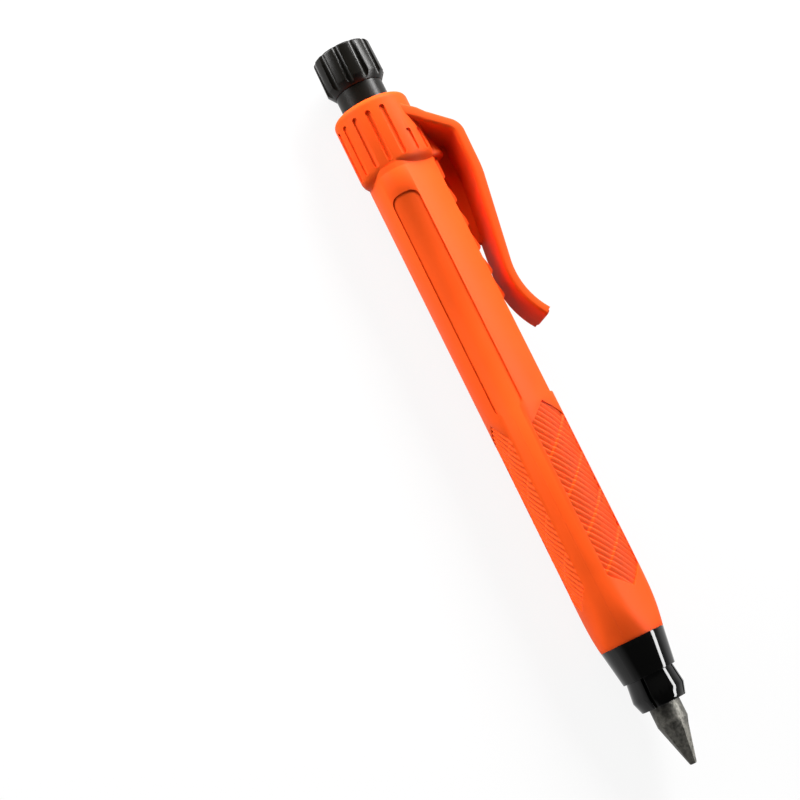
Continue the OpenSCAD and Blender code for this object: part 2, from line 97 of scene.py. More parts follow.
# Heights above the barrel's front end, and sizes of what the barrel carries
FACE_TURNS, CORNER_TURNS = (60, 180, 300), (120, 240)
OGIVE, OGIVE_STEPS, OGIVE_SPARE = 12.6 * MM, 24, 0.06 * MM
UNCAPPED = 9 * MM
TAIL_FRONT = 91.4 * MM
FLAT_LOW, FLAT_REACH, FLAT_SPARE = 44.7 * MM, 5.9 * MM, 2 * MM
PANEL_LOW, PANEL_HIGH, PANEL_HALF, PANEL_POINT = 8 * MM, 43.5 * MM, 4.4 * MM, 3.3 * MM
POCKET_LOW, POCKET_REAR = 43.8 * MM, 4.6 * MM
POCKET_HALF, POCKET_DEPTH, POCKET_ROUND = 2.675 * MM, 0.26 * MM, 1.6 * MM
RECESS_START = 3 * MM
SHARP = 0.01 * MM

# Ribs of the grip panels. A rib climbs and then drops within the given share of its pitch.
RIB_PITCH, RIB_RISE, RIB_DROP, RIB_BELLY = 1.44 * MM, 0.27 * MM, 0.24, 1.6
RIBS_PER_ROW, ROW_RISE, ROW_DROP, ROW_SLANT, ROW_START = 5, 0.20 * MM, 0.05, 37, 0.85 * MM
SHEET_GRID, SHEET_THICK, SHEET_SUNK, SHEET_GAP = (460, 112), 0.5 * MM, 0.04 * MM, 0.06 * MM

# Teeth of the rack under the clip
TOOTH_PITCH, TOOTH_COUNT, TOOTH_FIRST = 4.85 * MM, 5, 87.4 * MM
TOOTH_ROOT, TOOTH_RISE, TOOTH_CLIMB = 6.22, 0.66, 0.86
RACK_LAND, RACK_SUNK, RACK_HALF, RACK_DEEP = 6.9 * MM, 5.6 * MM, 2 * MM, 1.2 * MM
RACK_GRID, RACK_EDGE = (170, 6), 0.12 * MM

# Bores of the barrel
PRESS, SLIDE = 0.02 * MM, 0.06 * MM
CLUTCH_ROOM, SHOULDER_THICK, SPRING_ROOM = 4.2 * MM, 2 * MM, 0.15 * MM

# Collar
RIM_ROUND = 1.2 * MM
SLOT_HALF, SLOT_DEPTH, SLOT_STEP = 0.5 * MM, 0.36 * MM, 22.5
LONG_SLOT, LONG_STEPS = 10 * MM, range(4, 13)
SHORT_SLOT, SHORT_STEPS = 4.4 * MM, (-3, -2, 2, 3)
WEDGE_R, WEDGE_RISE, WEDGE_RUN, WEDGE_ROUND = 3.2 * MM, 2.3 * MM, 8 * MM, 0.9 * MM

# Clip
ARM_THICK, ARM_OFFSET, NOSE_ROUND = 1.9 * MM, 0.95 * MM, 0.8 * MM
WEB_HALF, WEB_SIDE, WEB_LOW = 0.75 * MM, -3.72 * MM, 76.7 * MM

# Knob
KNOB_R, KNOB_LEN, KNOB_CROWN = 5.6 * MM, 7.8 * MM, 0.5 * MM
FLUTE_COUNT, FLUTE_R, FLUTE_OUT = 11, 0.76 * MM, 0.08 * MM

# Lead
LEAD_R, LEAD_POINT_R, LEAD_CONE = 2.8 * MM, 0.62 * MM, 7.8 * MM
LEAD_BLUNT, LEAD_RINGS, LEAD_FLATS, LEAD_FADE = 0.12 * MM, 16, 9, 1.6 * MM

# Finishes and stage
PARTING_TURN = 120.0
PARTING_HALF = (0.03 * MM, 0.08 * MM)
PARTING_ENDS = (43.5 * MM, 41 * MM)
FLOOR_SIZE = 4.0
FLOOR_BOUNCE, FLOOR_CARD, FLOOR_WHITE = 0.22, 0.95, 0.88
VIEW_UP, VIEW_RIGHT, ALONG = Vector((0, -0.336, 0.942)), Vector((0, 0.942, 0.336)), Vector((1, 0, 0))
CAMERA_SENSOR, CAMERA_LENS, CAMERA_ROLL = 36.0, 85.4, 35.056
CAMERA_PLACE = Vector((FRONT, -110.97 * MM, 310.78 * MM))
CAMERA_AIM = Vector((FRONT - 55.21 * MM, -16.77 * MM, -5.99 * MM))


def at(height):
    """Row X of a height above the barrel's front end, both in metres."""
    return FRONT - height


# ---- small tools of the bench ---------------------------------------------------------------

def deselect():
    if bpy.context.mode != "OBJECT":
        bpy.ops.object.mode_set(mode="OBJECT")
    bpy.ops.object.select_all(action="DESELECT")


def hold(obj):
    """Makes obj the only selected and the active object."""
    deselect()
    obj.select_set(True)
    bpy.context.view_layer.objects.active = obj
    return obj


def named(name):
    """Names the primitive that was just added."""
    obj = bpy.context.active_object
    obj.name = obj.data.name = name
    return obj


def apply_place(obj):
    hold(obj)
    bpy.ops.object.transform_apply(location=True, rotation=True, scale=True)


def apply_modifier(obj, kind, **settings):
    hold(obj)
    modifier = obj.modifiers.new(kind.title(), kind)
    for key, value in settings.items():
        setattr(modifier, key, value)
    bpy.ops.object.modifier_apply(modifier=modifier.name)


def pick(obj, mode, test):
    """Selects only the vertices, edges or faces that pass the test, then opens edit mode."""
    hold(obj)
    bpy.ops.object.mode_set(mode="EDIT")
    bpy.ops.mesh.select_mode(type=mode)
    bpy.ops.mesh.select_all(action="DESELECT")
    bpy.ops.object.mode_set(mode="OBJECT")
    parts = {"VERT": obj.data.vertices, "EDGE": obj.data.edges, "FACE": obj.data.polygons}[mode]
    for part in parts:
        part.select = bool(test(part))
    bpy.ops.object.mode_set(mode="EDIT")


def smooth(obj, angle=35):
    hold(obj)
    bpy.ops.object.shade_smooth_by_angle(angle=math.radians(angle))


def weigh_normals(obj):
    """Large faces keep their own direction, and the small rounds between them take up the turn."""
    apply_modifier(obj, "WEIGHTED_NORMAL", keep_sharp=True, weight=60)


def recalculate(obj):
    pick(obj, "FACE", lambda f: True)
    bpy.ops.mesh.remove_doubles(threshold=1e-6)
    bpy.ops.mesh.select_all(action="SELECT")
    bpy.ops.mesh.fill_holes(sides=0)
    bpy.ops.mesh.select_all(action="SELECT")
    bpy.ops.mesh.normals_make_consistent(inside=False)
    deselect()


def cut(obj, tool, operation="DIFFERENCE"):
    apply_modifier(obj, "BOOLEAN", operation=operation, object=tool, solver="EXACT")
    bpy.data.objects.remove(tool, do_unlink=True)


def soften(obj, width, angle=30, segments=2):
    apply_modifier(obj, "BEVEL", width=width, segments=segments, limit_method="ANGLE",
                   angle_limit=math.radians(angle), miter_outer="MITER_ARC", use_clamp_overlap=True)


def plain_copy(name, node, tidy=0.5):
    """A copy of a measured node whose loose facets are merged into whole faces."""
    obj = bpy.data.objects.new(name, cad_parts[node].data.copy())
    bpy.context.scene.collection.objects.link(obj)
    obj.data.materials.clear()
    pick(obj, "FACE", lambda f: True)
    bpy.ops.mesh.remove_doubles(threshold=1e-7)
    bpy.ops.mesh.dissolve_limited(angle_limit=math.radians(tidy))
    deselect()
    return obj


def soft_copy(name, node, width):
    """A plain copy whose edges are rounded off as a moulding's are."""
    obj = plain_copy(name, node)
    soften(obj, width)
    smooth(obj)
    weigh_normals(obj)
    return obj


def turned(name, stations, sides=96):
    """Turns a piece on the pencil's axis from (x, radius) stations that run round its wall."""
    deselect()
    x, radius = stations[0]
    bpy.ops.mesh.primitive_circle_add(vertices=sides, radius=radius, location=(x, 0, 0),
                                      rotation=(0, math.pi / 2, 0))
    obj = named(name)
    apply_place(obj)
    bpy.ops.object.mode_set(mode="EDIT")
    bpy.ops.mesh.select_mode(type="VERT")
    bpy.ops.mesh.select_all(action="SELECT")
    for x_next, radius_next in stations[1:]:
        bpy.ops.mesh.extrude_region_move(TRANSFORM_OT_translate={"value": (x_next - x, 0, 0)})
        scale = radius_next / radius
        bpy.ops.transform.resize(value=(1, scale, scale), center_override=(x_next, 0, 0))
        x, radius = x_next, radius_next
    deselect()
    recalculate(obj)
    return obj


def loft(name, stations, outer_round, inner_round, steps=4):
    """Draws a bar through (x, y, heading, thickness, half width) stations. The bar's width lies
    along Z, and heading is the angle in degrees of its run in the XY plane."""
    deselect()
    x, y, heading, thick, half = stations[0]
    bpy.ops.mesh.primitive_plane_add(size=2)
    obj = named(name)
    obj.scale = (thick / 2, half, 1)
    apply_place(obj)
    pick(obj, "VERT", lambda v: v.co.x > 0)
    bpy.ops.mesh.bevel(offset=outer_round, segments=steps, affect="VERTICES")
    pick(obj, "VERT", lambda v: v.co.x < -thick * 0.49)
    bpy.ops.mesh.bevel(offset=inner_round, segments=steps + 3, affect="VERTICES")
    deselect()
    turn_width = Matrix.Rotation(math.pi / 2, 4, "X")
    turn_run = Matrix.Rotation(math.radians(heading + 90), 4, "Z")
    obj.matrix_world = Matrix.Translation((x, y, 0)) @ turn_run @ turn_width
    apply_place(obj)
    bpy.ops.object.mode_set(mode="EDIT")
    bpy.ops.mesh.select_all(action="SELECT")
    for x2, y2, heading2, thick2, half2 in stations[1:]:
        bpy.ops.mesh.extrude_region_move(TRANSFORM_OT_translate={"value": (x2 - x, y2 - y, 0)})
        bpy.ops.transform.rotate(value=-math.radians(heading2 - heading), orient_axis="Z",
                                 center_override=(x2, y2, 0))
        across = Matrix.Rotation(math.radians(heading2), 3, "Z")
        bpy.ops.transform.resize(value=(1, thick2 / thick, half2 / half), orient_type="GLOBAL",
                                 orient_matrix=across, orient_matrix_type="GLOBAL",
                                 center_override=(x2, y2, 0))
        x, y, heading, thick, half = x2, y2, heading2, thick2, half2
    deselect()
    recalculate(obj)
    return obj


def rounded_path(corners, steps=6):
    """Stations along a bar's middle line from (x, y, round, thickness, half width) corners; each
    corner but the first and last is rounded, and sizes run evenly from corner to corner."""
    points = [Vector(c[:2]) for c in corners]
    runs = [(b - a).normalized() for a, b in zip(points, points[1:])]
    headings = [math.degrees(math.atan2(r.y, r.x)) for r in runs]
    stations = [(*corners[0][:2], headings[0], *corners[0][3:])]
    for i in range(1, len(corners) - 1):
        turn = math.radians(headings[i] - headings[i - 1])
        radius, thick, half = corners[i][2:]
        tangent = radius * abs(math.tan(turn / 2))
        side = Vector((-runs[i - 1].y, runs[i - 1].x)) * math.copysign(1, turn)
        start = points[i] - runs[i - 1] * tangent
        centre = start + side * radius
        for k in range(steps + 1):
            angle = turn * k / steps
            spoke = Matrix.Rotation(angle, 2) @ (start - centre)
            place = centre + spoke
            stations.append((place.x, place.y, headings[i - 1] + math.degrees(angle), thick, half))
    stations.append((*corners[-1][:2], headings[-1], *corners[-1][3:]))
    return stations


def array_round(obj, angles):
    """Turned copies of obj about the pencil's axis, joined into one tool; obj itself goes."""
    copies = []
    for angle in angles:
        copy = bpy.data.objects.new(obj.name, obj.data.copy())
        bpy.context.scene.collection.objects.link(copy)
        copy.matrix_world = Matrix.Rotation(math.radians(angle), 4, "X")
        apply_place(copy)
        copies.append(copy)
    bpy.data.objects.remove(obj, do_unlink=True)
    hold(copies[0])
    for copy in copies:
        copy.select_set(True)
    bpy.ops.object.join()
    return bpy.context.active_object


def dress(obj, material, body, slot, *nodes):
    """Gives a finished piece its finish and its body, and hides the nodes that it stands for."""
    obj.data.materials.clear()
    obj.data.materials.append(material)
    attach(obj, body)
    if nodes:
        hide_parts(*nodes)


# ---- finishes -------------------------------------------------------------------------------

def group_socket(group, way, name, kind="NodeSocketFloat", value=None):
    socket = group.interface.new_socket(name=name, in_out=way, socket_type=kind)
    if value is not None:
        socket.default_value = value


def node_at(tree, kind, place, **inputs):
    node = tree.nodes.new(kind)
    node.location = (place[0] * 200, -place[1] * 220)
    for key, value in inputs.items():
        node.inputs[key.replace("_", " ")].default_value = value
    return node


def spread(tree, place, source, low, high, to_low, to_high):
    """A Map Range node from source."""
    node = node_at(tree, "ShaderNodeMapRange", place)
    for key, value in (("From Min", low), ("From Max", high), ("To Min", to_low), ("To Max", to_high)):
        node.inputs[key].default_value = value
    tree.links.new(source, node.inputs["Value"])
    return node.outputs["Result"]


def moulded_skin():
    """Node group: fine spark-eroded grain, slow tone patches and thin handling marks."""
    name = "Moulded skin"
    if name in bpy.data.node_groups:
        return bpy.data.node_groups[name]
    g = bpy.data.node_groups.new(name, "ShaderNodeTree")
    group_socket(g, "INPUT", "Grain Scale", value=2600.0)
    group_socket(g, "INPUT", "Patch Scale", value=90.0)
    group_socket(g, "INPUT", "Mark Scale", value=220.0)
    for out in ("Height", "Patches", "Marks"):
        group_socket(g, "OUTPUT", out)
    source, drain = node_at(g, "NodeGroupInput", (-5, 0)), node_at(g, "NodeGroupOutput", (4, 0))
    where = node_at(g, "ShaderNodeTexCoord", (-5, 2))
    grain = node_at(g, "ShaderNodeTexNoise", (-3, 0), Detail=3.0, Roughness=0.6)
    patches = node_at(g, "ShaderNodeTexNoise", (-3, 2), Detail=4.0, Roughness=0.55)
    stretch = node_at(g, "ShaderNodeMapping", (-4, 4))
    stretch.inputs["Scale"].default_value = (0.16, 1.0, 1.0)
    stretch.inputs["Rotation"].default_value = (0.3, 0.2, 0.35)
    marks = node_at(g, "ShaderNodeTexNoise", (-3, 4), Detail=6.0, Roughness=0.7)
    for texture, scale in ((grain, "Grain Scale"), (patches, "Patch Scale"), (marks, "Mark Scale")):
        g.links.new(source.outputs[scale], texture.inputs["Scale"])
    g.links.new(where.outputs["Object"], grain.inputs["Vector"])
    g.links.new(where.outputs["Object"], patches.inputs["Vector"])
    g.links.new(where.outputs["Object"], stretch.inputs["Vector"])
    g.links.new(stretch.outputs["Vector"], marks.inputs["Vector"])
    g.links.new(grain.outputs["Fac"], drain.inputs["Height"])
    g.links.new(spread(g, (0, 2), patches.outputs["Fac"], 0.32, 0.68, 0, 1), drain.inputs["Patches"])
    g.links.new(spread(g, (0, 4), marks.outputs["Fac"], 0.60, 0.70, 0, 1), drain.inputs["Marks"])
    return g


def parting_line():
    """Node group: a mask of the thin line that the mould leaves where its halves meet."""
    name = "Parting line"
    if name in bpy.data.node_groups:
        return bpy.data.node_groups[name]
    g = bpy.data.node_groups.new(name, "ShaderNodeTree")
    group_socket(g, "OUTPUT", "Line")
    where = node_at(g, "ShaderNodeTexCoord", (-5, 0))
    across = node_at(g, "ShaderNodeVectorMath", (-4, 0))
    across.operation = "DOT_PRODUCT"
    turn = math.radians(PARTING_TURN)
    across.inputs[1].default_value = (0, -math.sin(turn), math.cos(turn))
    g.links.new(where.outputs["Object"], across.inputs[0])
    apart = node_at(g, "ShaderNodeMath", (-3, 0))
    apart.operation = "ABSOLUTE"
    g.links.new(across.outputs["Value"], apart.inputs[0])
    line = spread(g, (-2, 0), apart.outputs[0], *PARTING_HALF, 1, 0)
    split = node_at(g, "ShaderNodeSeparateXYZ", (-4, 2))
    g.links.new(where.outputs["Object"], split.inputs[0])
    front = spread(g, (-2, 2), split.outputs["X"], *map(at, PARTING_ENDS), 0, 1)
    both = node_at(g, "ShaderNodeMath", (-1, 0))
    both.operation = "MULTIPLY"
    g.links.new(line, both.inputs[0])
    g.links.new(front, both.inputs[1])
    g.links.new(both.outputs[0], node_at(g, "NodeGroupOutput", (1, 0)).inputs["Line"])
    return g


def finish(name, low, high, rough, metallic=0.0, grain=2600.0, patch=90.0, mark=220.0,
           bump=0.15, depth=0.02, mark_rough=0.1, specular=0.5, parted=False):
    """A finish whose colour runs between low and high over the piece, with grain in its bump and
    handling marks in its roughness."""
    if name in bpy.data.materials:
        return bpy.data.materials[name]
    m = bpy.data.materials.new(name)
    m.use_nodes = True
    t = m.node_tree
    shader = t.nodes["Principled BSDF"]
    shader.inputs["Metallic"].default_value = metallic
    shader.inputs["Specular IOR Level"].default_value = specular
    skin = node_at(t, "ShaderNodeGroup", (-5, 0))
    skin.node_tree = moulded_skin()
    for key, value in (("Grain Scale", grain), ("Patch Scale", patch), ("Mark Scale", mark)):
        skin.inputs[key].default_value = value
    tone = node_at(t, "ShaderNodeMix", (-2, 0))
    tone.data_type = "RGBA"
    tone.inputs[6].default_value = (*low, 1)
    tone.inputs[7].default_value = (*high, 1)
    t.links.new(skin.outputs["Patches"], tone.inputs[0])
    t.links.new(tone.outputs[2], shader.inputs["Base Color"])
    base_rough = spread(t, (-3, 2), skin.outputs["Patches"], 0, 1, rough * 0.92, rough * 1.08)
    worn = node_at(t, "ShaderNodeMath", (-2, 2))
    worn.operation = "MULTIPLY_ADD"
    worn.inputs[1].default_value = mark_rough
    t.links.new(skin.outputs["Marks"], worn.inputs[0])
    t.links.new(base_rough, worn.inputs[2])
    t.links.new(worn.outputs[0], shader.inputs["Roughness"])
    relief = node_at(t, "ShaderNodeBump", (-2, 4), Strength=bump, Distance=depth * MM)
    t.links.new(skin.outputs["Height"], relief.inputs["Height"])
    t.links.new(relief.outputs["Normal"], shader.inputs["Normal"])
    if parted:
        parting = node_at(t, "ShaderNodeGroup", (-4, 6))
        parting.node_tree = parting_line()
        ridge = node_at(t, "ShaderNodeBump", (-1, 6), Strength=0.8, Distance=0.05 * MM)
        t.links.new(parting.outputs["Line"], ridge.inputs["Height"])
        t.links.new(relief.outputs["Normal"], ridge.inputs["Normal"])
        t.links.new(ridge.outputs["Normal"], shader.inputs["Normal"])
    return m


def scaled(colour, factor):
    return tuple(min(1.0, c * factor) for c in colour[:3])


def orange_plastic():
    c = bpy.context.scene.pencil_colours.orange
    return finish("Orange moulding", scaled(c, 0.95), scaled(c, 1.03), 0.46, bump=0.12, specular=0.04,
                  parted=True)


def black_plastic():
    c = bpy.context.scene.pencil_colours.knob_black
    return finish("Black moulding", scaled(c, 0.8), scaled(c, 1.3), 0.3, bump=0.2, specular=0.2)


def black_gloss():
    c = bpy.context.scene.pencil_colours.nose_black
    return finish("Blackened metal", scaled(c, 0.7), scaled(c, 1.4), 0.05, grain=900.0, bump=0.04,
                  mark_rough=0.12, specular=0.32)


# ---- settings -------------------------------------------------------------------------------

def length(name, text, value):
    return bpy.props.FloatProperty(name=name, description=text, default=value, min=0.0,
                                   unit="LENGTH", precision=5)


def colour(name, text, value):
    return bpy.props.FloatVectorProperty(name=name, description=text, default=value, size=3,
                                         min=0.0, max=1.0, subtype="COLOR")


def level(name, text, value):
    return bpy.props.FloatProperty(name=name, description=text, default=value, min=0.0)


class PencilSizes(bpy.types.PropertyGroup):
    barrel_edge: length("Barrel edge", "Rounding of the barrel's moulded edges", 0.18 * MM)
    knob_edge: length("Knob edge", "Rounding of the knob's edges", 0.10 * MM)
    nose_edge: length("Nose edge", "Rounding of the nose cone and the jaws", 0.07 * MM)
    collar_edge: length("Collar edge", "Rounding of the collar's slots and rims", 0.12 * MM)
    clip_outer: length("Clip outer edge", "Rounding of the clip's long outer edges", 0.45 * MM)
    clip_inner: length("Clip inner edge", "Rounding of the clip's long inner edges", 0.85 * MM)


class PencilColours(bpy.types.PropertyGroup):
    orange: colour("Orange", "Barrel, collar and clip", (0.97, 0.098, 0.012))
    knob_black: colour("Knob black", "Knob and neck", (0.0052, 0.0044, 0.0030))
    nose_black: colour("Nose black", "Nose cone and jaws", (0.0018, 0.0018, 0.0016))
    graphite: colour("Graphite", "The lead", (0.12, 0.115, 0.10))
    steel: colour("Steel", "Tube, spring, rings and pointer", (0.55, 0.54, 0.52))
    brass: colour("Brass", "Clutch body and thread insert", (0.72, 0.5, 0.22))


class PencilStudio(bpy.types.PropertyGroup):
    key: level("Key", "Strength of the softbox on the clip's side, towards the knob", 6.6)
    fill: level("Fill", "Strength of the softbox on the far side", 6.0)
    overhead: level("Overhead", "Strength of the softbox above the knob's end", 1.3)
    window: level("Window", "Strength of the long strip that glossy pieces mirror", 11.0)
    sky_low: level("Sky low", "Light that comes from low round the table", 0.8)
    sky_high: level("Sky high", "Light that comes from straight above", 0.08)


# ---- pieces ---------------------------------------------------------------------------------

def section_reach(angle, inset=0.0):
    """Reach of the barrel's rounded triangle in a direction, in degrees from the clip's corner."""
    off_face = (angle % 120) - 60
    if abs(off_face) < TOUCH:
        offset, radius, off = FACE_REACH - FACE_R, FACE_R - inset, off_face
    else:
        offset, radius, off = CORNER_C, CORNER_R - inset, (angle + 60) % 120 - 60
    c, s = math.cos(math.radians(off)), math.sin(math.radians(off))
    return offset * c + math.sqrt(radius * radius - offset * offset * s * s)


def section_bar(name, stations, sides=180):
    """A bar of the barrel's section through (x, inset, cap) stations; cap trims its corners."""
    deselect()
    bpy.ops.mesh.primitive_circle_add(vertices=sides, radius=1, fill_type="NGON",
                                      rotation=(0, math.pi / 2, 0))
    bar = named(name)
    apply_place(bar)
    bpy.ops.object.mode_set(mode="EDIT")
    bpy.ops.mesh.select_all(action="SELECT")
    for _ in stations[1:]:
        bpy.ops.mesh.extrude_region_move(TRANSFORM_OT_translate={"value": (1, 0, 0)})
    bpy.ops.object.mode_set(mode="OBJECT")
    for v in bar.data.vertices:
        x, inset, cap = stations[round(v.co.x)]
        angle = math.atan2(v.co.z, v.co.y)
        reach = soft_least(section_reach(math.degrees(angle), inset), cap)
        v.co = (x, reach * math.cos(angle), reach * math.sin(angle))
    recalculate(bar)
    return bar


def soft_least(a, b, blend=0.35 * MM):
    """The smaller of two lengths, with a soft turn from one to the other."""
    k = max(blend - abs(a - b), 0.0) / blend
    return min(a, b) - k * k * blend / 4


def slab(name, x, half_length, half_width, corner, low, high):
    """An upright block over the clip's side of the axis, its outline rounded at the corners."""
    deselect()
    bpy.ops.mesh.primitive_plane_add(size=2, rotation=(-math.pi / 2, 0, 0))
    block = named(name)
    apply_place(block)
    block.scale = (half_length, 1, half_width)
    block.location = (x, low, 0)
    apply_place(block)
    pick(block, "VERT", lambda v: True)
    bpy.ops.mesh.bevel(offset=corner, segments=8, affect="VERTICES")
    bpy.ops.mesh.select_all(action="SELECT")
    bpy.ops.mesh.extrude_region_move(TRANSFORM_OT_translate={"value": (0, high - low, 0)})
    deselect()
    recalculate(block)
    return block


def plug(start, end, radius):
    """Stations of a plain plug on the axis."""
    return [(start, radius), (end, radius)]


def rack_height(x):
    """Reach of the rack's toothed top: long soft flanks that end in short rounded drops."""
    u = (x - at(TOOTH_FIRST)) / TOOTH_PITCH
    if u < -0.1:
        return RACK_LAND
    if u > TOOTH_COUNT:
        return RACK_SUNK
    phase = u % 1.0
    wave = phase / TOOTH_CLIMB if phase < TOOTH_CLIMB else (1 - phase) / (1 - TOOTH_CLIMB)
    wave = wave * wave * (3 - 2 * wave)
    return (TOOTH_ROOT + TOOTH_RISE * wave) * MM


def rack(half_width):
    """Toothed strip under the clip."""
    start, end = at(TAIL_FRONT), at(TOOTH_FIRST) + TOOTH_COUNT * TOOTH_PITCH + 0.4 * MM
    deselect()
    bpy.ops.mesh.primitive_grid_add(x_subdivisions=RACK_GRID[0], y_subdivisions=RACK_GRID[1], size=2,
                                    rotation=(-math.pi / 2, 0, 0))
    strip = named("rack")
    apply_place(strip)
    strip.scale = ((end - start) / 2, 1, half_width)
    strip.location = ((start + end) / 2, 0, 0)
    apply_place(strip)
    for v in strip.data.vertices:
        edge = abs(v.co.z) / half_width
        v.co.y = rack_height(v.co.x) - (RACK_EDGE if edge > 0.95 else 0)
    pick(strip, "FACE", lambda f: True)
    bpy.ops.mesh.extrude_region_move(TRANSFORM_OT_translate={"value": (0, -RACK_DEEP, 0)})
    deselect()
    recalculate(strip)
    smooth(strip, 60)
    return strip


def recess(x_low, x_high, half_width, depth, angle, point=0.0, corner=0.0):
    """Tool for a shallow recess that follows the barrel's surface at depth below it."""
    middle, half = (x_low + x_high) / 2, (x_high - x_low) / 2
    if point:
        tool = slab("recess", middle, half - point, half_width, SHARP, RECESS_START, REACH + MM)
        for end in (-1, 1):
            pick(tool, "FACE", lambda f: f.normal.x * end > 0.9)
            bpy.ops.mesh.extrude_region_move(TRANSFORM_OT_translate={"value": (end * point, 0, 0)})
            bpy.ops.transform.resize(value=(1, 1, 0.01))
            deselect()
        recalculate(tool)
    else:
        tool = slab("recess", middle, half, half_width, corner, RECESS_START, REACH + MM)
    tool.matrix_world = Matrix.Rotation(math.radians(angle), 4, "X")
    apply_place(tool)
    core = section_bar("recess_floor", [(x_low - MM, depth, REACH), (x_high + MM, depth, REACH)])
    cut(tool, core)
    return tool


def rib_sheet(number, angle):
    """Ribbed floor of one grip panel: slanting steps, parted by crossing rows like shingles."""
    x_low, x_high = at(PANEL_HIGH), at(PANEL_LOW)
    half = PANEL_HALF - SHEET_GAP
    deselect()
    bpy.ops.mesh.primitive_grid_add(x_subdivisions=SHEET_GRID[0], y_subdivisions=SHEET_GRID[1], size=2,
                                    rotation=(-math.pi / 2, 0, 0))
    sheet = named(f"grip_ribs_{number}")
    apply_place(sheet)
    sheet.scale = ((x_high - x_low) / 2, 1, half)
    sheet.location = ((x_low + x_high) / 2, 0, 0)
    apply_place(sheet)
    slant = math.tan(math.radians(ROW_SLANT))
    for v in sheet.data.vertices:
        x, side = v.co.x, v.co.z
        z = FRONT - x
        rib = ((z - side) / RIB_PITCH) % 1.0
        row = ((z + slant * side - ROW_START) / (RIBS_PER_ROW * RIB_PITCH)) % 1.0
        step = step_shape(rib, RIB_DROP) * RIB_RISE + step_shape(row, ROW_DROP) * ROW_RISE
        bulge = FACE_REACH - FACE_R + math.sqrt(FACE_R ** 2 - side ** 2)
        v.co.y = bulge - RIB_RISE - ROW_RISE - SHEET_SUNK + step
    for end in (-1, 1):
        for side in (-1, 1):
            trim_corner(sheet, end, side, x_high if end > 0 else x_low)
    pick(sheet, "FACE", lambda f: True)
    bpy.ops.mesh.extrude_region_move(TRANSFORM_OT_translate={"value": (0, -SHEET_THICK, 0)})
    deselect()
    sheet.matrix_world = Matrix.Rotation(math.radians(angle), 4, "X")
    apply_place(sheet)
    recalculate(sheet)
    smooth(sheet, 40)
    return sheet


def step_shape(u, drop):
    """One step of a rib, from 0 to 1: a rounded slope that starts steeply, then a short drop."""
    return 1 - (1 - u / (1 - drop)) ** RIB_BELLY if u < 1 - drop else (1 - u) / drop


def trim_corner(sheet, end, side, apex_x):
    """Cuts one corner of a sheet along the panel's pointed end."""
    pick(sheet, "FACE", lambda f: True)
    run = Vector((end * PANEL_HALF, 0, side * PANEL_POINT))
    bpy.ops.mesh.bisect(plane_co=(apex_x - end * SHEET_GAP, 0, 0), plane_no=run.normalized(),
                        clear_outer=True)
    deselect()


def barrel_bores():
    """Stepped plug of the barrel's inside, from the thread insert to the rear bush."""
    insert, spring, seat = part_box("thread_insert"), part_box("return_spring"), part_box("spring_seat")
    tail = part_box("rear_bush")[1].y - 0.6 * MM
    mouth, tube = insert[1].y + PRESS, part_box("lead_tube")[1].y + SLIDE
    wide, spring_end = seat[1].y + SPRING_ROOM, spring[1].x
    insert_end, shoulder = insert[0].x - 0.1 * MM, spring_end + SHOULDER_THICK
    return turned("barrel_bores", [
        (FRONT + MM, mouth), (insert_end, mouth), (insert_end, CLUTCH_ROOM),
        (shoulder, CLUTCH_ROOM), (shoulder, tube), (spring_end, tube), (spring_end, wide),
        (COLLAR_LOW - MM, wide), (COLLAR_LOW - MM, tail), (COLLAR_TOP - MM, tail)])


def barrel_body(edge):
    """Rounded triangular moulding with its soft front end, pockets, panels and rack."""
    full = REACH + OGIVE_SPARE
    rise = full - FACE_REACH
    ogive_r = (OGIVE ** 2 + rise ** 2) / (2 * rise)
    stations = []
    for k in range(OGIVE_STEPS + 1):
        z = OGIVE * k / OGIVE_STEPS
        cap = full - ogive_r + math.sqrt(ogive_r ** 2 - (OGIVE - z) ** 2)
        stations.append((at(z), 0, cap))
    stations += [(at(OGIVE + MM), 0, UNCAPPED), (at(44 * MM), 0, UNCAPPED), (COLLAR_LOW, 0, UNCAPPED)]
    barrel = section_bar("barrel_moulding", stations[::-1])
    flat_end = at(FLAT_LOW)
    cut(barrel, slab("clip_flat", (flat_end + COLLAR_LOW) / 2 - FLAT_SPARE,
                     (flat_end - COLLAR_LOW) / 2 + FLAT_SPARE, UNCAPPED, SHARP, FLAT_REACH, UNCAPPED))
    for angle in CORNER_TURNS:
        cut(barrel, recess(COLLAR_LOW + POCKET_REAR, at(POCKET_LOW), POCKET_HALF, POCKET_DEPTH, angle,
                           corner=POCKET_ROUND))
    for angle in FACE_TURNS:
        cut(barrel, recess(at(PANEL_HIGH), at(PANEL_LOW), PANEL_HALF, RIB_RISE + ROW_RISE, angle,
                           point=PANEL_POINT))
    tail = turned("barrel_tail", plug(COLLAR_LOW + MM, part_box("rear_bush")[0].x + 0.8 * MM,
                                      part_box("rear_bush")[1].y))
    soften(barrel, edge, angle=26)
    cut(barrel, rack(RACK_HALF), "UNION")
    cut(barrel, tail, "UNION")
    cut(barrel, barrel_bores())
    smooth(barrel, 32)
    return barrel


class PENCIL_OT_barrel(bpy.types.Operator):
    """Soft-edged barrel with its grip panels, corner pockets and rack"""
    bl_idname = "pencil.barrel"
    bl_label = "Barrel"

    def execute(self, context):
        sizes = context.scene.pencil_sizes
        barrel = barrel_body(sizes.barrel_edge)
        dress(barrel, orange_plastic(), "barrel_body", "orange_plastic", "barrel")
        for number, angle in enumerate(FACE_TURNS, start=1):
            dress(rib_sheet(number, angle), orange_plastic(), "barrel_body", "orange_plastic")
        return {"FINISHED"}


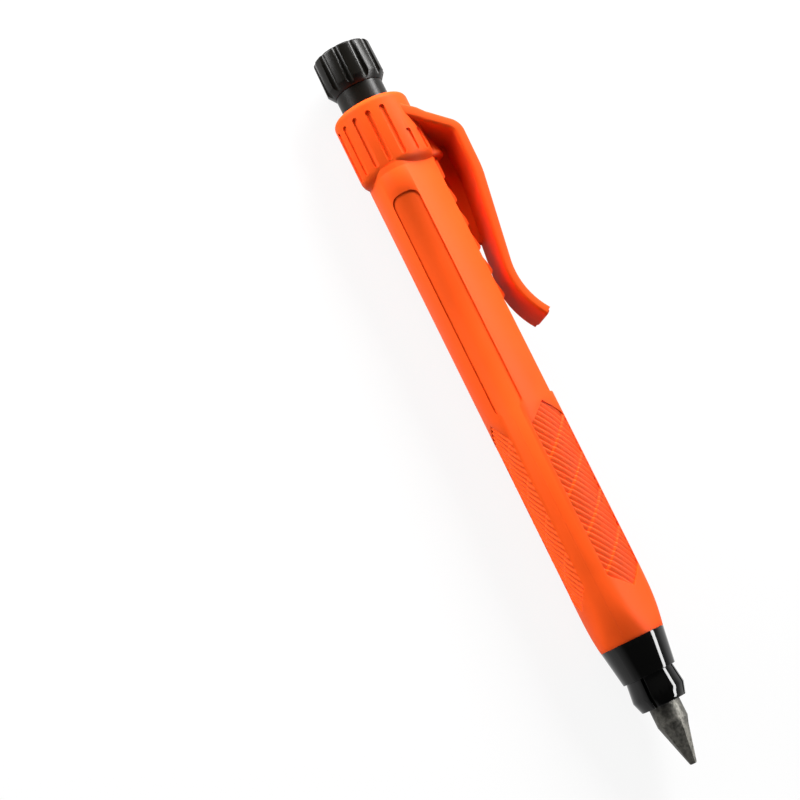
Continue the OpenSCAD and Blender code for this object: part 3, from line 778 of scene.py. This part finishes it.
def collar_body(edge):
    """Turned collar on a foot of the barrel's own section, with its finger slots cut."""
    r, top, low = REACH, COLLAR_TOP, COLLAR_LOW
    seat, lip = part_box("rear_bush")[1].y + PRESS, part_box("rear_bush")[0].x
    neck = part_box("plunger_sleeve")[1].y + 0.13 * MM
    rim = [(top + RIM_ROUND * (1 - math.sin(a)), r - RIM_ROUND * (1 - math.cos(a)))
           for a in (math.radians(d) for d in range(0, 91, 10))]
    wall = [(low, seat), (low, r - 1.15 * MM), (low - 0.12 * MM, r - 1.1 * MM),
            (low - 0.6 * MM, r - 0.55 * MM), (low - 1.1 * MM, r - 0.2 * MM), (low - 1.8 * MM, r)]
    inside = [(top, neck), (lip, neck), (lip, seat), (low, seat)]
    collar = turned("collar", [*wall, *rim, *inside], sides=160)
    foot = section_bar("collar_foot", [(low + PRESS, PRESS, 9), (low - 1.1 * MM, PRESS, 9)])
    cut(foot, turned("foot_bore", plug(low + MM, low - 2 * MM, seat), sides=160))
    cut(collar, foot, "UNION")
    cut(collar, wedge_under_clip(), "UNION")
    slot_low = low - 1.7 * MM
    for slot_length, steps in ((LONG_SLOT, LONG_STEPS), (SHORT_SLOT, SHORT_STEPS)):
        slot = slab("finger_slot", slot_low - slot_length / 2, slot_length / 2, SLOT_HALF,
                    0.98 * SLOT_HALF, r - SLOT_DEPTH, r + MM)
        soften(slot, 0.3 * MM, angle=60, segments=4)
        cut(collar, array_round(slot, [SLOT_STEP * k for k in steps]))
    soften(collar, edge, angle=28)
    return collar


def wedge_under_clip():
    """Swelling of the collar below the clip, a half cone that is thickest at its lower end."""
    reach = REACH + 2 * MM
    deselect()
    bpy.ops.mesh.primitive_cone_add(
        vertices=70, radius1=WEDGE_R - WEDGE_RISE, radius2=WEDGE_R, depth=WEDGE_RUN,
        location=(COLLAR_LOW - 0.45 * MM - WEDGE_RUN / 2, reach - WEDGE_R, 0),
        rotation=(0, math.pi / 2, 0))
    wedge = named("collar_wedge")
    apply_place(wedge)
    soften(wedge, WEDGE_ROUND, angle=50, segments=6)
    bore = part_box("rear_bush")[1].y + 0.4 * MM
    cut(wedge, turned("wedge_bore", plug(COLLAR_LOW + MM, COLLAR_LOW - 7 * MM, bore), sides=128))
    return wedge


def clip_bar(outer_round, inner_round):
    """The clip from its root inside the collar to its flared end, with the stiffening web that
    runs under the far part of the arm."""
    back, end = CLIP_BACK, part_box("pocket_clip")[1].x
    bend, second = COLLAR_TOP + 10.1 * MM, COLLAR_TOP + 18.6 * MM
    arm = back - ARM_OFFSET
    corners = [  # x, y, rounding of the bend, thickness, half width
        (COLLAR_TOP + 3.4 * MM, 2.4 * MM, 0, 2.5 * MM, 6.2 * MM),
        (COLLAR_TOP + 5.2 * MM, 5.2 * MM, 9 * MM, 2.3 * MM, 6.0 * MM),
        (COLLAR_TOP + 6.8 * MM, 7.15 * MM, 9 * MM, 2.0 * MM, 5.8 * MM),
        (bend, arm, 2.6 * MM, ARM_THICK, 5.3 * MM),
        (second, arm, 20 * MM, ARM_THICK, 4.98 * MM),
        (end - 5.5 * MM, back - 4.55 * MM, 14.5 * MM, 1.6 * MM, 4.15 * MM),
        (end - 0.35 * MM, back - 0.65 * MM, 0, 1.3 * MM, 3.6 * MM),
    ]
    stations = rounded_path(corners, steps=10)
    x, y, heading, thick_end, half = stations.pop()
    run = Vector((math.cos(math.radians(heading)), math.sin(math.radians(heading))))
    for a in range(0, 91, 15):
        s, c = math.sin(math.radians(a)), math.cos(math.radians(a))
        place = Vector((x, y)) - run * NOSE_ROUND * (1 - s)
        stations.append((place.x, place.y, heading, thick_end * (0.35 + 0.65 * c),
                         half - NOSE_ROUND * (1 - c)))
    clip = loft("clip_bar", stations, outer_round, inner_round)
    web_end = at(WEB_LOW)
    web = loft("clip_web", rounded_path([
        (COLLAR_TOP + 6.8 * MM, 8.2 * MM, 0, 1.2 * MM, WEB_HALF),
        (bend - 0.3 * MM, 9.8 * MM, 2 * MM, 3.6 * MM, WEB_HALF),
        (second, 10.05 * MM, 12 * MM, 3.7 * MM, WEB_HALF),
        (web_end, 9.2 * MM, 2 * MM, 2.4 * MM, WEB_HALF),
        (web_end + 1.4 * MM, 9.6 * MM, 0, 0.8 * MM, 0.6 * MM),
    ]), 0.2 * MM, 0.3 * MM)
    web.location.z = WEB_SIDE
    apply_place(web)
    cut(clip, web, "UNION")
    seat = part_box("rear_bush")[1].y + 0.3 * MM
    cut(clip, turned("root_bore", plug(COLLAR_TOP - MM, COLLAR_TOP + 12 * MM, seat)))
    smooth(clip, 40)
    return clip


class PENCIL_OT_collar(bpy.types.Operator):
    """Slotted collar with the wedge below the clip"""
    bl_idname = "pencil.collar"
    bl_label = "Collar"

    def execute(self, context):
        sizes = context.scene.pencil_sizes
        collar = collar_body(sizes.collar_edge)
        smooth(collar, 32)
        dress(collar, orange_plastic(), "barrel_body", "orange_plastic", "clip_collar")
        return {"FINISHED"}


class PENCIL_OT_clip(bpy.types.Operator):
    """Pocket clip that grows out of the collar and curves out near its root"""
    bl_idname = "pencil.clip"
    bl_label = "Pocket clip"

    def execute(self, context):
        sizes = context.scene.pencil_sizes
        clip = clip_bar(sizes.clip_outer, sizes.clip_inner)
        clip.data.materials.clear()
        clip.data.materials.append(orange_plastic())
        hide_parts("pocket_clip")
        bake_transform(clip)
        return {"FINISHED"}


def knob_body(edge):
    """Knob and its hollow spigot in one turning, with round flutes cut through its lower rim."""
    box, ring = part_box("push_knob"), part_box("knob_o_ring")
    top, low, end = box[0].x, box[0].x + KNOB_LEN, box[1].x
    outer, spigot = KNOB_R, ring[1].y - PRESS
    bore, groove = spigot - 0.7 * MM, ring[1].y - 0.42 * MM
    middle, half = (ring[0].x + ring[1].x) / 2, 0.23 * MM
    crown = [(top + KNOB_CROWN * (1 - math.sin(a)), outer - 0.1 * MM - KNOB_CROWN * (1 - math.cos(a)))
             for a in (math.radians(d) for d in range(90, -1, -15))]
    knob = turned("knob_moulding", [
        *crown, (low - 1.3 * MM, outer), (low, outer - 0.95 * MM), (low, spigot),
        (middle - half, spigot), (middle - half, groove),
        (middle + half, groove), (middle + half, spigot),
        (end - 0.3 * MM, spigot), (end, spigot - 0.3 * MM), (end, bore),
        (top + 0.35 * MM, bore)], sides=132)
    deselect()
    start, stop = low - 0.12 * MM, top - MM
    bpy.ops.mesh.primitive_cylinder_add(vertices=28, radius=FLUTE_R, depth=start - stop,
                                        location=((start + stop) / 2, outer + FLUTE_OUT, 0),
                                        rotation=(0, math.pi / 2, 0))
    flute = named("knob_flute")
    apply_place(flute)
    cut(knob, array_round(flute, [360 * (i + 0.5) / FLUTE_COUNT for i in range(FLUTE_COUNT)]))
    soften(knob, edge, angle=32)
    smooth(knob, 32)
    return knob


class PENCIL_OT_knob(bpy.types.Operator):
    """Fluted push knob with its hollow spigot"""
    bl_idname = "pencil.knob"
    bl_label = "Knob"

    def execute(self, context):
        dress(knob_body(context.scene.pencil_sizes.knob_edge), black_plastic(), "knob", "black_plastic",
              "push_knob")
        return {"FINISHED"}


class PENCIL_OT_nose(bpy.types.Operator):
    """Nose cone and the four split jaws"""
    bl_idname = "pencil.nose"
    bl_label = "Nose cone and jaws"

    def execute(self, context):
        sizes = context.scene.pencil_sizes
        cone = soft_copy("nose_cone_turning", "nose_cone", sizes.nose_edge)
        dress(cone, black_gloss(), "barrel_body", "black_metal", "nose_cone")
        for i in range(1, 5):
            jaw = soft_copy(f"jaw_turning_{i}", f"clutch_jaw_{i}", sizes.nose_edge)
            dress(jaw, black_gloss(), f"jaw_{i}", "black_metal", f"clutch_jaw_{i}")
        return {"FINISHED"}


def lead_stick():
    """Lead with a knife-cut point: the cone is worked into long flats, and its tip is blunt."""
    rear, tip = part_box("lead")[0].x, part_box("lead")[1].x
    shoulder = tip - LEAD_CONE
    rings = [(rear, LEAD_R - 0.2 * MM), (rear + 0.2 * MM, LEAD_R), (shoulder, LEAD_R)]
    point = LEAD_POINT_R + 0.03 * MM
    for i in range(1, LEAD_RINGS):
        u = i / LEAD_RINGS
        rings.append((shoulder + (LEAD_CONE - LEAD_BLUNT) * u, LEAD_R + (point - LEAD_R) * u))
    rings += [(tip - LEAD_BLUNT, point), (tip, LEAD_POINT_R - 0.1 * MM)]
    stick = turned("lead_stick", rings, sides=108)
    half_turn = math.pi / LEAD_FLATS
    for vertex in stick.data.vertices:
        past = (vertex.co.x - shoulder) / LEAD_FADE
        if past <= 0:
            continue
        off_middle = math.atan2(vertex.co.z, vertex.co.y) % (2 * half_turn) - half_turn
        flat = math.cos(half_turn) / math.cos(off_middle)
        draw_in = 1 + (flat - 1) * min(past, 1)
        vertex.co.y *= draw_in
        vertex.co.z *= draw_in
    recalculate(stick)
    smooth(stick, 14)
    return stick


class PENCIL_OT_lead(bpy.types.Operator):
    """Graphite lead with its hand-cut point"""
    bl_idname = "pencil.lead"
    bl_label = "Lead"

    def execute(self, context):
        c = context.scene.pencil_colours.graphite
        graphite = finish("Graphite", scaled(c, 0.35), scaled(c, 1.1), 0.48, metallic=0.55,
                          grain=2200.0, patch=1500.0, mark=500.0, bump=0.8, depth=0.05,
                          mark_rough=0.25, specular=0.3)
        dress(lead_stick(), graphite, "lead", "graphite", "lead")
        return {"FINISHED"}


def squeezed_spring(steel):
    """The return spring, which shortens against its shoulder as the knob is pushed; this copy keeps its
    measured length.
    """
    coil = plain_copy("coil_spring", "return_spring", tidy=0)
    smooth(coil, 60)
    dress(coil, steel, "barrel_body", "steel", "return_spring")
    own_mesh(coil)


class PENCIL_OT_inner_works(bpy.types.Operator):
    """Finishes for the pieces that work inside the barrel"""
    bl_idname = "pencil.inner_works"
    bl_label = "Inner works"

    def execute(self, context):
        colours = context.scene.pencil_colours
        steel = finish("Drawn steel", scaled(colours.steel, 0.85), scaled(colours.steel, 1.1), 0.28,
                       metallic=1.0, grain=700.0, bump=0.08)
        brass = finish("Turned brass", scaled(colours.brass, 0.85), scaled(colours.brass, 1.1), 0.3,
                       metallic=1.0, grain=700.0, bump=0.08)
        rubber = finish("Black rubber", (0.012, 0.012, 0.012), (0.03, 0.03, 0.03), 0.6, bump=0.3)
        finishes = {
            "plunger_sleeve": black_plastic(), "rear_bush": black_plastic(), "knob_o_ring": rubber,
            "thread_insert": brass, "clutch_body": brass, "lead_tube": steel, "spring_seat": steel,
            "retaining_ring": steel, "pointer_cutter": steel,
        }
        for node, material in finishes.items():
            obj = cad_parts[node]
            obj.data.materials.clear()
            obj.data.materials.append(material)
        squeezed_spring(steel)
        return {"FINISHED"}


# ---- stage ----------------------------------------------------------------------------------

def pale_floor(low):
    deselect()
    bpy.ops.mesh.primitive_plane_add(size=FLOOR_SIZE, location=(CAD_BOX[0].x / 2, 0, low))
    floor = named("pale_floor")
    apply_place(floor)
    m = bpy.data.materials.new("Pale floor")
    m.use_nodes = True
    t = m.node_tree
    shader = t.nodes["Principled BSDF"]
    shader.inputs["Roughness"].default_value = 0.9
    shader.inputs["Specular IOR Level"].default_value = 0.1
    path = node_at(t, "ShaderNodeLightPath", (-4, 0))
    cloth = node_at(t, "ShaderNodeMix", (-1, -2))
    cloth.data_type = "RGBA"
    cloth.inputs[6].default_value = (FLOOR_BOUNCE, FLOOR_BOUNCE, FLOOR_BOUNCE, 1)
    cloth.inputs[7].default_value = (FLOOR_CARD, FLOOR_CARD, FLOOR_CARD, 1)
    t.links.new(path.outputs["Is Camera Ray"], cloth.inputs[0])
    t.links.new(cloth.outputs[2], shader.inputs["Base Color"])
    seen = node_at(t, "ShaderNodeMath", (-2, 0))
    seen.operation = "MAXIMUM"
    t.links.new(path.outputs["Is Camera Ray"], seen.inputs[0])
    t.links.new(path.outputs["Is Glossy Ray"], seen.inputs[1])
    seen_too = node_at(t, "ShaderNodeMath", (-1, 0))
    seen_too.operation = "MAXIMUM"
    t.links.new(seen.outputs[0], seen_too.inputs[0])
    t.links.new(path.outputs["Is Transmission Ray"], seen_too.inputs[1])
    share = node_at(t, "ShaderNodeMath", (0, 0))
    share.operation = "MULTIPLY"
    share.inputs[1].default_value = FLOOR_WHITE
    t.links.new(seen_too.outputs[0], share.inputs[0])
    glow = node_at(t, "ShaderNodeEmission", (0, 2), Strength=1.0)
    both = node_at(t, "ShaderNodeMixShader", (2, 0))
    t.links.new(share.outputs[0], both.inputs[0])
    t.links.new(shader.outputs[0], both.inputs[1])
    t.links.new(glow.outputs[0], both.inputs[2])
    t.links.new(both.outputs[0], t.nodes["Material Output"].inputs["Surface"])
    floor.data.materials.append(m)


def beside_view(turn, lean):
    """Direction that is turned from the view to the clip's side, and leans along the pencil."""
    angle = math.radians(turn)
    return VIEW_UP * math.cos(angle) + VIEW_RIGHT * math.sin(angle) + ALONG * lean


def softbox(name, aim, direction, distance, size, strength):
    """A rectangular lamp that looks at aim; strength is the light it would throw on white card."""
    data = bpy.data.lights.new(name, "AREA")
    data.shape = "RECTANGLE"
    data.size, data.size_y = size
    data.energy = strength * distance * distance * math.pi
    lamp = bpy.data.objects.new(name, data)
    bpy.context.scene.collection.objects.link(lamp)
    lamp.location = aim + direction.normalized() * distance
    back = direction.normalized()
    across = back.cross(ALONG).normalized()
    lamp.rotation_mode = "QUATERNION"
    lamp.rotation_quaternion = Matrix((across.cross(back), across, back)).transposed().to_quaternion()
    return lamp


def studio_world(studio):
    world = bpy.data.worlds.new("Studio")
    bpy.context.scene.world = world
    world.use_nodes = True
    t = world.node_tree
    back = t.nodes["Background"]
    where = node_at(t, "ShaderNodeTexCoord", (-6, 0))
    apart = node_at(t, "ShaderNodeSeparateXYZ", (-5, 0))
    t.links.new(where.outputs["Generated"], apart.inputs[0])
    height = spread(t, (-4, 0), apart.outputs["Z"], 0.05, 0.55, studio.sky_low, studio.sky_high)
    knob_side = spread(t, (-4, -2), apart.outputs["X"], -0.5, 0.7, 1.1, 0.7)
    both = node_at(t, "ShaderNodeMath", (-3, 0))
    both.operation = "MULTIPLY"
    t.links.new(height, both.inputs[0])
    t.links.new(knob_side, both.inputs[1])
    sky = both.outputs[0]
    path = node_at(t, "ShaderNodeLightPath", (-4, 2))
    seen = node_at(t, "ShaderNodeMix", (-2, 0))
    t.links.new(path.outputs["Is Camera Ray"], seen.inputs[0])
    t.links.new(sky, seen.inputs[2])
    seen.inputs[3].default_value = 1.0
    t.links.new(seen.outputs[0], back.inputs["Strength"])
    back.inputs["Color"].default_value = (1, 1, 1, 1)


def camera_for_portrait():
    """Close long-lens camera that looks down on the pencil, rolled so that it lies aslant."""
    data = bpy.data.cameras.new("portrait")
    camera = bpy.data.objects.new("portrait", data)
    bpy.context.scene.collection.objects.link(camera)
    data.sensor_width = CAMERA_SENSOR
    data.lens = CAMERA_LENS
    data.clip_start, data.clip_end = 0.01, 20.0
    camera.location = CAMERA_PLACE
    looking = (CAMERA_AIM - camera.location).to_track_quat("-Z", "Y")
    roll = Matrix.Rotation(math.radians(CAMERA_ROLL), 3, "Z").to_quaternion()
    camera.rotation_mode = "QUATERNION"
    camera.rotation_quaternion = looking @ roll
    bpy.context.scene.camera = camera


class PENCIL_OT_stage(bpy.types.Operator):
    """Pale floor, soft studio light and the portrait camera"""
    bl_idname = "pencil.stage"
    bl_label = "Stage"

    def execute(self, context):
        studio = context.scene.pencil_studio
        middle = (CAD_BOX[0] + CAD_BOX[1]) / 2
        pale_floor(CAD_BOX[0].z)
        studio_world(studio)
        softbox("key", middle, beside_view(70, -1.1), 0.6, (0.4, 0.2), studio.key)
        softbox("fill", middle, beside_view(-68, -1.1), 0.6, (0.4, 0.3), studio.fill)
        overhead = softbox("overhead", middle, beside_view(0, -1.7), 0.7, (0.3, 0.5), studio.overhead)
        overhead.visible_glossy = False
        window = softbox("window", middle, beside_view(77, 0.1), 0.5, (0.8, 0.13), studio.window)
        window.visible_diffuse = False
        camera_for_portrait()
        context.scene.view_settings.view_transform = "Standard"
        return {"FINISHED"}


class PENCIL_PT_bench(bpy.types.Panel):
    bl_idname = "PENCIL_PT_bench"
    bl_label = "Pencil"
    bl_space_type = "VIEW_3D"
    bl_region_type = "UI"
    bl_category = "Pencil"

    def draw(self, context):
        scene = context.scene
        for group in (scene.pencil_sizes, scene.pencil_colours, scene.pencil_studio):
            box = self.layout.box()
            for key in group.__annotations__:
                box.prop(group, key)
        for step in STEPS:
            self.layout.operator(step.bl_idname)


STEPS = (PENCIL_OT_barrel, PENCIL_OT_collar, PENCIL_OT_clip, PENCIL_OT_knob, PENCIL_OT_nose,
         PENCIL_OT_lead, PENCIL_OT_inner_works, PENCIL_OT_stage)
CLASSES = (PencilSizes, PencilColours, PencilStudio, *STEPS, PENCIL_PT_bench)


def register():
    for cls in CLASSES:
        bpy.utils.register_class(cls)
    bpy.types.Scene.pencil_sizes = bpy.props.PointerProperty(type=PencilSizes)
    bpy.types.Scene.pencil_colours = bpy.props.PointerProperty(type=PencilColours)
    bpy.types.Scene.pencil_studio = bpy.props.PointerProperty(type=PencilStudio)


def unregister():
    del bpy.types.Scene.pencil_studio
    del bpy.types.Scene.pencil_colours
    del bpy.types.Scene.pencil_sizes
    for cls in reversed(CLASSES):
        bpy.utils.unregister_class(cls)


def main():
    register()
    bpy.ops.pencil.barrel()
    bpy.ops.pencil.collar()
    bpy.ops.pencil.clip()
    bpy.ops.pencil.knob()
    bpy.ops.pencil.nose()
    bpy.ops.pencil.lead()
    bpy.ops.pencil.inner_works()
    bpy.ops.pencil.stage()


if __name__ == "__main__":
    main()
